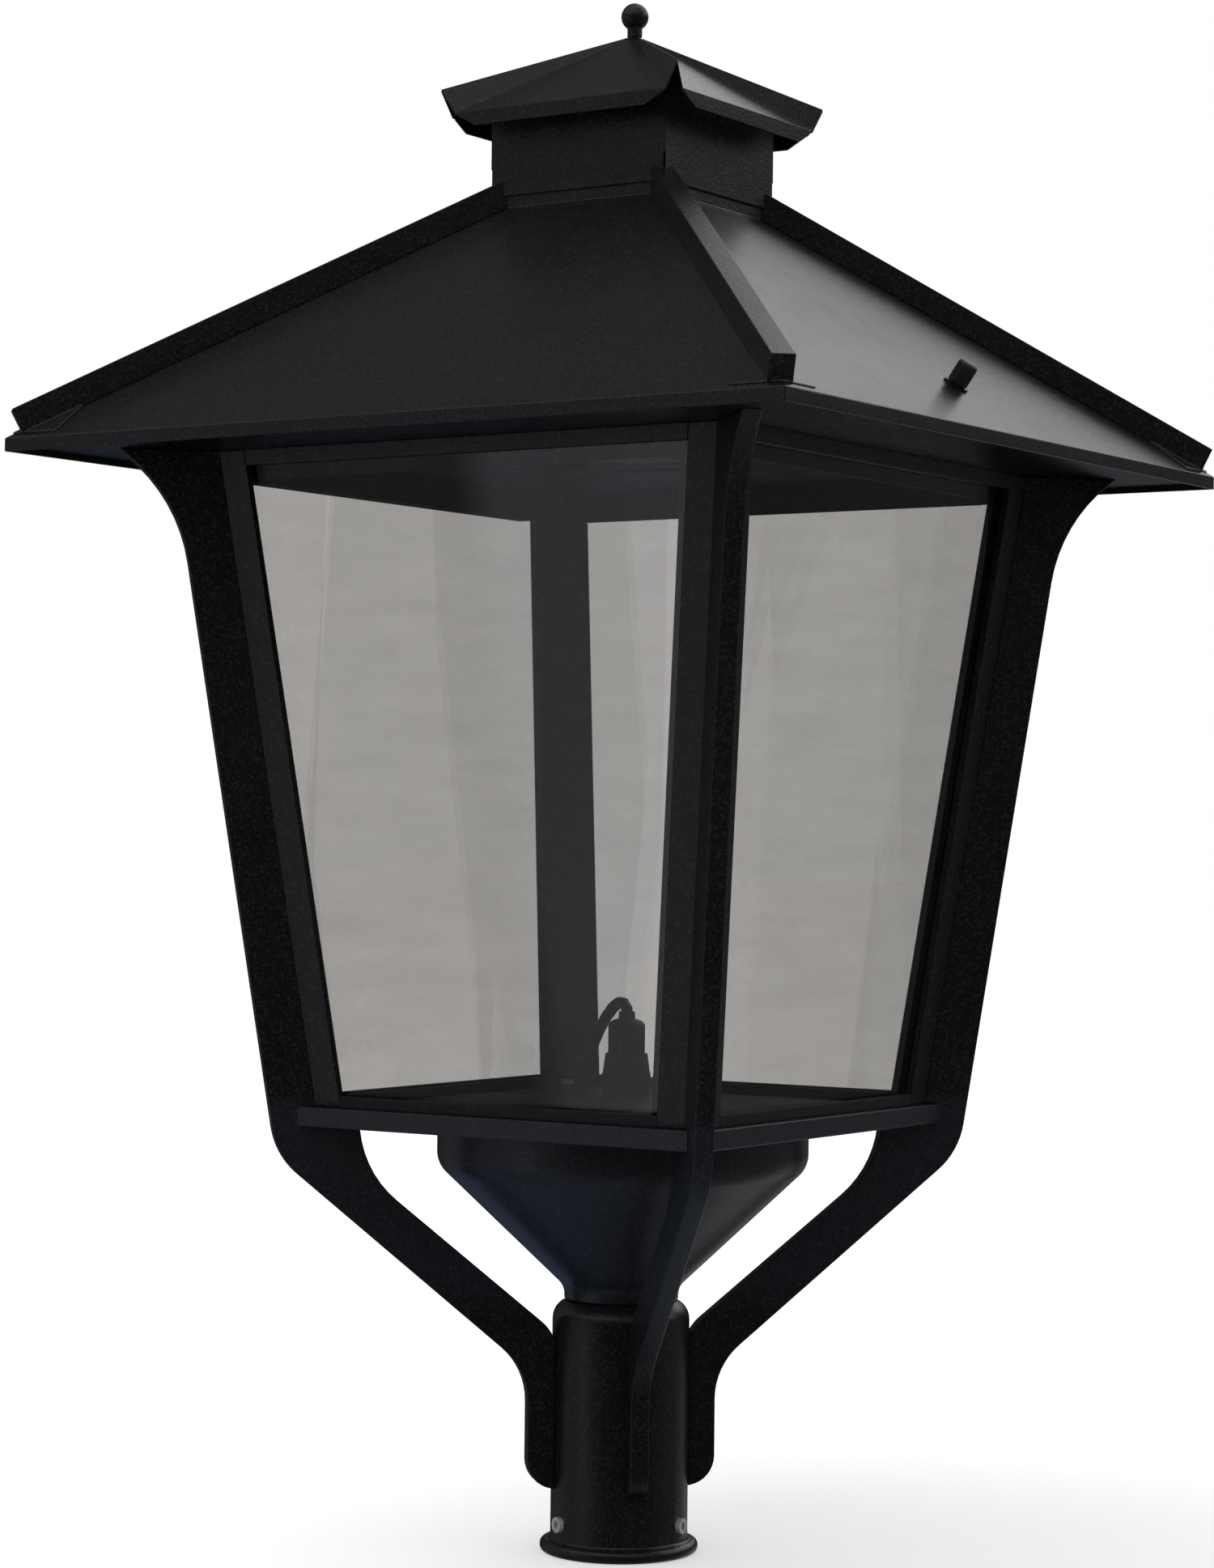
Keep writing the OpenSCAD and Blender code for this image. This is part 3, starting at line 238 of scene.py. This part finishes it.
def moulded(name, colour, roughness, texture=0.04):
    """Moulded plastic or rubber with a fine spark texture."""
    finish = Finish(name)
    spark = finish.noise(1100.0, 3.0, 0.6)
    clouds = finish.noise(60.0, 2.0)
    shader = finish.node(
        "BsdfPrincipled",
        {
            "Base Color": finish.mix(clouds, scaled(colour, 0.8), colour),
            "Roughness": finish.spread(spark, 0.3, 0.7, roughness - 0.05, roughness + 0.08),
            "Normal": finish.bump(spark, texture * MM),
        },
    )
    return finish.surface(shader)


def see_through(name, tint, film_and_band_depth):
    """Glass or lens: each face passes its tint, less where its smears, film and painted shade bands are, and
    mirrors by the angle.
    """
    finish = Finish(name)
    smears = finish.node("Mapping", {"Vector": finish.coordinates(), "Scale": (3, 3, 14)})
    wiped = finish.noise(4.0, 4.0, 0.6, smears.outputs[0])
    # Painted shade: soft vertical bands that darken what is seen through the glass.
    bands = finish.node("Mapping", {"Vector": finish.coordinates(), "Scale": (9, 9, 0.5)})
    cells = finish.node("TexVoronoi", {"Vector": bands.outputs[0], "Scale": 1.0})
    painted_shade_bands = finish.spread(Value(finish, cells.outputs["Color"]), 0.3, 0.7)
    film = finish.noise(260.0, 3.0, 0.7)
    film_and_painted_bands = finish.spread(wiped, 0.3, 0.7) * 0.25 + painted_shade_bands * 0.6 + finish.spread(film, 0.3, 0.7) * 0.15
    film_and_band_dimmed = finish.node("BsdfTransparent", {"Color": scaled(tint, 1.0, -film_and_band_depth)})
    clean = finish.node("BsdfTransparent", {"Color": tint})
    polish = finish.node("BsdfAnisotropic", {"Roughness": finish.spread(wiped, 0.45, 0.8, 0.0, 0.06)})
    facing = Value(finish, finish.node("LayerWeight", {"Blend": 0.5}).outputs["Facing"])
    mirrored = facing ** 5.0 * 0.96 + 0.04
    return finish.surface(finish.layer(mirrored, finish.layer(film_and_painted_bands, film_and_band_dimmed, clean), polish))


BLACK = rgba(0.0042, 0.0044, 0.0050)
# Bluish colour of the painted sheen band low on the lantern.
PAINTED_SHEEN_BLUE = rgba(0.0066, 0.0085, 0.0118)
SPECK = rgba(0.021, 0.0215, 0.0225)
FINISHES = {
    "black_coat": powder_coat("black_powder_coat", BLACK, 0.27),
    "clear_glass": see_through("clear_glass", rgba(0.838, 0.831, 0.824), 0.1),
    "plated_steel": plated_steel("zinc_plate", rgba(0.5, 0.5, 0.5), rgba(0.72, 0.72, 0.7)),
    "frosted_lens": see_through("clear_lens", rgba(0.93, 0.93, 0.92), 0.02),
    "board_white": moulded("board_mask", rgba(0.62, 0.63, 0.6), 0.4, 0.02),
    "plain_aluminium": plain_aluminium(),
    "driver_case": moulded("driver_case", rgba(0.6, 0.6, 0.57), 0.5),
    "block_grey": moulded("block_grey", rgba(0.045, 0.048, 0.055), 0.45),
    "surge_blue": moulded("surge_blue", rgba(0.03, 0.08, 0.2), 0.35),
    "black_nylon": moulded("black_nylon", rgba(0.012, 0.012, 0.013), 0.42),
    "lead_jacket": moulded("lead_jacket", rgba(0.012, 0.012, 0.013), 0.55, 0.06),
}


# Pieces that stand for coated sheets, bars and panes, with their edges rounded

SHARP = math.radians(28.0)
SHORTEST = 45 * MM
STOP_CUT = 18 * MM


def chains(edges):
    """Groups edges that meet end to end."""
    left = set(edges)
    groups = []
    while left:
        group = [left.pop()]
        for edge in group:
            near = {e for v in edge.verts for e in v.link_edges} & left
            left -= near
            group.extend(near)
        groups.append(group)
    return groups


def narrowed(work, node):
    """Cuts both flanges of a leaning angle back from their free edges."""
    low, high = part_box(node)
    out = math.copysign(1.0, low.x)
    near = min(abs(low.x), abs(high.x)) + STOP_CUT
    lean = math.radians(6.45)
    for axis in (0, 1):
        place = Vector((0.0, 0.0, low.z))
        place[axis] = out * near
        facing = Vector((0.0, 0.0, -math.sin(lean)))
        facing[axis] = out * math.cos(lean)
        bmesh.ops.bisect_plane(
            work,
            geom=work.verts[:] + work.edges[:] + work.faces[:],
            plane_co=place,
            plane_no=facing,
            clear_inner=True,
        )
        bmesh.ops.holes_fill(work, edges=[e for e in work.edges if e.is_boundary])
    bmesh.ops.recalc_face_normals(work, faces=work.faces)


def softened(node, width):
    """Stands for a CAD node with a copy whose sharp edges, apart from small holes, are rounded."""
    source = frame["nodes"][node]
    work = bmesh.new()
    work.from_mesh(source.data)
    bmesh.ops.remove_doubles(work, verts=work.verts, dist=0.002 * MM)
    bmesh.ops.dissolve_limit(
        work,
        angle_limit=math.radians(0.4),
        use_dissolve_boundaries=False,
        verts=work.verts,
        edges=work.edges,
    )
    bmesh.ops.dissolve_degenerate(work, edges=work.edges, dist=0.2 * MM)
    if node in ("glass_stop_front_left", "glass_stop_back_right"):
        narrowed(work, node)
    edges = [e for e in work.edges if e.is_manifold and e.calc_face_angle() > SHARP]
    long_chains = [c for c in chains(edges) if sum(e.calc_length() for e in c) > SHORTEST]
    bmesh.ops.bevel(
        work,
        geom=[e for chain in long_chains for e in chain],
        offset=width,
        offset_type="OFFSET",
        affect="EDGES",
        segments=2,
        profile=0.5,
        material=-1,
        clamp_overlap=False,
        miter_outer="ARC",
    )
    mesh = bpy.data.meshes.new(node + "_coated")
    work.to_mesh(mesh)
    work.free()
    mesh.shade_smooth()
    piece = bpy.data.objects.new(node + "_coated", mesh)
    bpy.context.scene.collection.objects.link(piece)
    weighted = piece.modifiers.new("flat faces", "WEIGHTED_NORMAL")
    weighted.keep_sharp = True
    weighted.weight = 80
    mesh.set_sharp_from_angle(angle=math.radians(50.0))
    mesh.materials.append(OWN_FINISH.get(node, FINISHES[SLOT[node]]))
    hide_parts(node)
    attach(piece, source["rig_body"])


SLOT = {part["node"]: part["material_slot"] for part in frame["record"]["subparts"]}
BLACKENED = plated_steel("blackened_steel", rgba(0.012, 0.012, 0.013), rgba(0.02, 0.02, 0.021))
# Painted shade: the sills get a darker, rougher copy of the black coat, for the deck's shade over them.
SILL_SHADE_COAT = powder_coat("sill_painted_shade_coat", rgba(0.0034, 0.0035, 0.0038), 0.7)  # sills, in the deck's shade
OWN_FINISH = {"cap_strap": BLACKENED, "latch_bush": BLACKENED}
for side in SIDES:
    OWN_FINISH["sill_" + side] = SILL_SHADE_COAT
for name, part in frame["nodes"].items():
    part.data.materials.clear()
    part.data.materials.append(OWN_FINISH.get(name, FINISHES[SLOT[name]]))

EDGE = {
    "fitter": 0.8 * MM,
    "wiring_bowl": 0.7 * MM,
    "deck": 0.8 * MM,
    "canopy_plate": 0.5 * MM,
    "roof_shell": 0.7 * MM,
    "cupola_collar": 0.5 * MM,
    "cupola_cap": 0.3 * MM,
}
for corner in CORNERS:
    EDGE["arm_" + corner] = 1.0 * MM
    EDGE["post_" + corner] = 0.7 * MM
    EDGE["glass_stop_" + corner] = 0.4 * MM
    EDGE["hip_bar_" + corner] = 0.7 * MM
for side in SIDES:
    EDGE["sill_" + side] = 0.5 * MM
    EDGE["top_rail_" + side] = 0.5 * MM
    EDGE["pane_" + side] = 0.4 * MM
for name, width in EDGE.items():
    softened(name, width)


# Small pieces that the solids leave out


def fitted(name, work, slot, *finishes):
    """Makes a piece that the lantern carries."""
    mesh = bpy.data.meshes.new(name)
    work.to_mesh(mesh)
    work.free()
    for finish in (FINISHES[slot],) + finishes:
        mesh.materials.append(finish)
    piece = bpy.data.objects.new(name, mesh)
    bpy.context.scene.collection.objects.link(piece)
    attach(piece, "lantern")


def lamp_chips():
    """Yellow chips in white frames, in the board's three rings."""
    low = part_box("lamp_board")[0].z
    work = bmesh.new()
    size = Matrix.Diagonal((3.4 * MM, 3.4 * MM, 0.9 * MM, 1.0))
    for count, radius in ((6, 12.0), (12, 24.0), (18, 36.0)):
        for i in range(count):
            turn = Matrix.Rotation(math.tau * i / count, 4, "Z")
            place = turn @ Matrix.Translation((radius * MM, 0.0, low + 0.4 * MM))
            chip = bmesh.ops.create_cube(work, size=1.0, matrix=place @ size)
            under = [f for f in {f for v in chip["verts"] for f in v.link_faces} if f.normal.z < -0.9]
            bmesh.ops.inset_region(work, faces=under, thickness=0.35 * MM, depth=0.0)
            for face in under:
                face.material_index = 1
            bmesh.ops.translate(work, verts=[v for f in under for v in f.verts], vec=(0.0, 0.0, 0.12 * MM))
    phosphor = moulded("chip_phosphor", rgba(0.72, 0.5, 0.06), 0.35, 0.01)
    fitted("lamp_chips", work, "board_white", phosphor)


def corner_beads():
    """Sealant between the ends of the top rails, in the corners over the glass stops."""
    low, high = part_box("top_rail_right")
    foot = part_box("glass_stop_back_right")[1].z
    length = 8.0 * MM
    along = high.y - 2.0 * MM + length / 2
    across = low.x + 2.35 * MM
    size = Matrix.Diagonal((length, 2.6 * MM, high.z - foot - 1.0 * MM, 1.0))
    lean = Matrix.Rotation(math.radians(-6.4), 4, "X")
    work = bmesh.new()
    for side in range(len(SIDES)):
        turn = Matrix.Rotation(math.tau * side / len(SIDES), 4, "Z")
        for end in (-1, 1):
            place = turn @ Matrix.Translation((end * along, across, (foot + high.z) / 2))
            bmesh.ops.create_cube(work, size=1.0, matrix=place @ lean @ size)
    bmesh.ops.bevel(
        work,
        geom=work.edges[:],
        offset=0.5 * MM,
        segments=2,
        profile=0.5,
        affect="EDGES",
        material=-1,
    )
    fitted("corner_beads", work, "black_nylon")


lamp_chips()
corner_beads()


# Camera, set by the photograph's viewing angle


def photo_camera():
    """The camera as solved from the lantern's own corners and circles."""
    azimuth, distance, height = math.radians(32.98), 2.36928, 0.4643
    heading, pitch, roll = math.radians(33.29), math.radians(0.773), math.radians(0.621)
    forward = Vector((
        -math.sin(heading) * math.cos(pitch),
        math.cos(heading) * math.cos(pitch),
        math.sin(pitch),
    ))
    level = Vector((math.cos(heading), math.sin(heading), 0.0))
    upright = level.cross(forward)
    right = math.cos(roll) * level + math.sin(roll) * upright
    up = math.cos(roll) * upright - math.sin(roll) * level
    data = bpy.data.cameras.new("camera")
    data.lens = 83.68
    data.sensor_width = 36.0
    camera = bpy.data.objects.new("camera", data)
    bpy.context.scene.collection.objects.link(camera)
    turn = Matrix((right, up, -forward)).transposed()
    place = Vector((math.sin(azimuth) * distance, -math.cos(azimuth) * distance, height))
    camera.matrix_world = Matrix.Translation(place) @ turn.to_4x4()
    bpy.context.scene.camera = camera


# Studio


WHITE = rgba(1.0, 1.0, 1.0)
DAYLIGHT = rgba(0.75, 0.75, 0.75)
DIM_ROOM = rgba(0.022, 0.024, 0.028)
DIM_SKY = rgba(0.085, 0.086, 0.089)
YARD = rgba(0.16, 0.163, 0.17)
SOFT_SKY = rgba(0.6, 0.61, 0.63)
OVERHEAD = rgba(0.7, 0.71, 0.73)
SHADE = rgba(0.08, 0.11, 0.18)
LAWN = rgba(0.36, 0.37, 0.38)
PAVING = rgba(0.5, 0.53, 0.57)
LOW_SKY = rgba(1.05, 1.05, 1.05)


def studio_world():
    """White to the camera, soft daylight to matt surfaces, and a dim yard with a low bright sky to gloss."""
    world = bpy.data.worlds.new("studio")
    bpy.context.scene.world = world
    finish = Finish("studio", world)
    path = finish.node("LightPath")
    way = finish.node("SeparateXYZ", {"Vector": finish.node("TexCoord").outputs["Generated"]})
    east, north, up = (Value(finish, way.outputs[axis]) for axis in range(3))
    low_sky = finish.spread(north * 0.574 + east * 0.819, 0.0, 0.15) * finish.spread(north, 0.15, 0.4)
    low_sky = low_sky * finish.spread(up, 0.22, 0.34)
    paving = finish.spread(east * 0.812 - north * 0.584, 0.0, 0.012) * finish.spread(north, -0.6, -0.8)
    paving = paving * finish.spread(north * 0.469 - east * 0.883, -0.06, 0.06)
    paving = paving * finish.spread(up, 0.0, 0.06, 1.0, 0.0)
    yard = finish.spread(east * 0.707 - north * 0.707, 0.8, 0.3) * finish.spread(north, -0.3, 0.6, 1.0, 0.5)
    yard = yard * finish.spread(north * 0.835 - east * 0.55, 0.7, 0.9, 1.0, 0.1)
    sky = finish.mix(finish.spread(north, 0.0, -0.35), DIM_SKY, SOFT_SKY)
    gloss = DIM_ROOM
    for part, colour in (
        (yard, YARD),
        (finish.spread(up, 0.3, 0.6), sky),
        (finish.spread(up, 0.86, 0.97), OVERHEAD),
        (finish.spread(up, -0.2, -0.5) * finish.spread(east, 0.3, -0.5), SHADE),
        (finish.spread(north * 0.83 - up * 0.56, 0.84, 0.95), LAWN),
        (paving, PAVING),
        (low_sky, LOW_SKY),
    ):
        gloss = finish.mix(part, gloss, colour)
    light = finish.mix(path.outputs["Is Glossy Ray"], DAYLIGHT, gloss)
    light = finish.mix(path.outputs["Is Camera Ray"], light, WHITE)
    finish.surface(finish.node("Background", {"Color": light, "Strength": 1.0}))


def pale_floor():
    """White floor that keeps the lantern's shadow and leaves gloss to the world."""
    finish = Finish("pale_floor")
    path = finish.node("LightPath").outputs
    matt = finish.node("BsdfDiffuse", {"Color": rgba(0.8, 0.8, 0.8)})
    lift = finish.node("Emission", {"Color": WHITE, "Strength": 0.4})
    seen = finish.node("AddShader", {0: matt.outputs[0], 1: lift.outputs[0]})
    shader = finish.layer(path["Is Camera Ray"], matt, seen)
    finish.surface(finish.layer(path["Is Glossy Ray"], shader, finish.node("BsdfTransparent")))
    work = bmesh.new()
    bmesh.ops.create_grid(work, x_segments=1, y_segments=1, size=30.0)
    mesh = bpy.data.meshes.new("floor")
    work.to_mesh(mesh)
    work.free()
    mesh.materials.append(finish.owner)
    floor = bpy.data.objects.new("floor", mesh)
    bpy.context.scene.collection.objects.link(floor)


def overhead_lamp():
    """A soft box over the lantern, which gives the floor its shadow and shows in no gloss."""
    data = bpy.data.lights.new("overhead", "AREA")
    data.shape = "RECTANGLE"
    data.size = data.size_y = 2.4
    data.energy = 60.0
    lamp = bpy.data.objects.new("overhead", data)
    bpy.context.scene.collection.objects.link(lamp)
    aim = Vector((0.0, 0.0, 0.55))
    away = Vector((-0.25, -0.2, 1.0)).normalized()
    turn = away.to_track_quat("Z", "Y").to_matrix().to_4x4()
    lamp.matrix_world = Matrix.Translation(aim + away * 4.0) @ turn
    lamp.visible_camera = False
    lamp.visible_glossy = False


bpy.context.scene.view_settings.view_transform = "Standard"
photo_camera()
studio_world()
pale_floor()
overhead_lamp()
